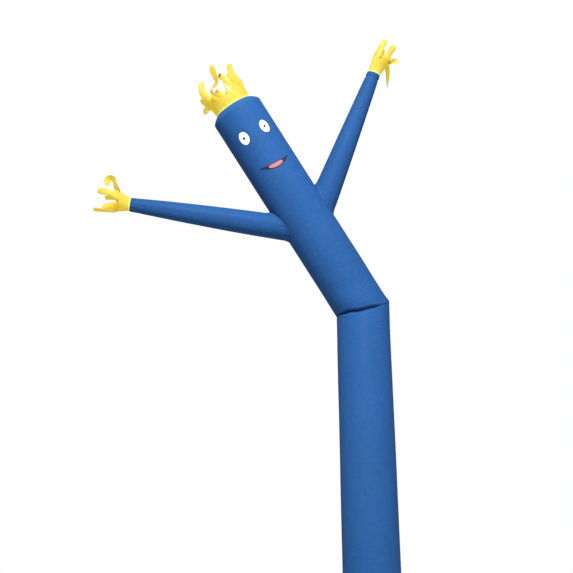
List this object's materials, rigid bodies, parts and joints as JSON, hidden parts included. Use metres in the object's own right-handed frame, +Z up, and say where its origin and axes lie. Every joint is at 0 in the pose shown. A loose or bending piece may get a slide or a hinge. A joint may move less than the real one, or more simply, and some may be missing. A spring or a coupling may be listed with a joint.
{
  "type": "inflatable air dancer",
  "caption": "Tall inflatable tube figure in light nylon, open at the foot, bent at one buckled knee, with tapered arms, a cartoon face, and streamers for hair and hands.",
  "frame": {"origin": "centre of the open foot sleeve, level with its hem", "axes": "+Z up the leg, the face looks towards -Y, +X to the right as seen from the front"},
  "size_m": [2.6297, 1.2195, 5.4539],
  "materials": {
    "blue_nylon": "smooth coated nylon with a soft sheen",
    "yellow_nylon": "thin translucent nylon",
    "white_patch": "matte sewn patch",
    "dark_patch": "matte sewn patch",
    "pink_patch": "matte sewn patch"
  },
  "bodies": {
    "root": {"body": "blue_nylon", "arm_left": "blue_nylon", "arm_right": "blue_nylon", "hair": "yellow_nylon", "hand_left": "yellow_nylon", "hand_right": "yellow_nylon", "eye_left": "white_patch", "eye_right": "white_patch", "pupil_left": "dark_patch", "pupil_right": "dark_patch", "mouth": "dark_patch", "tongue": "pink_patch"}
  },
  "joints": []
}
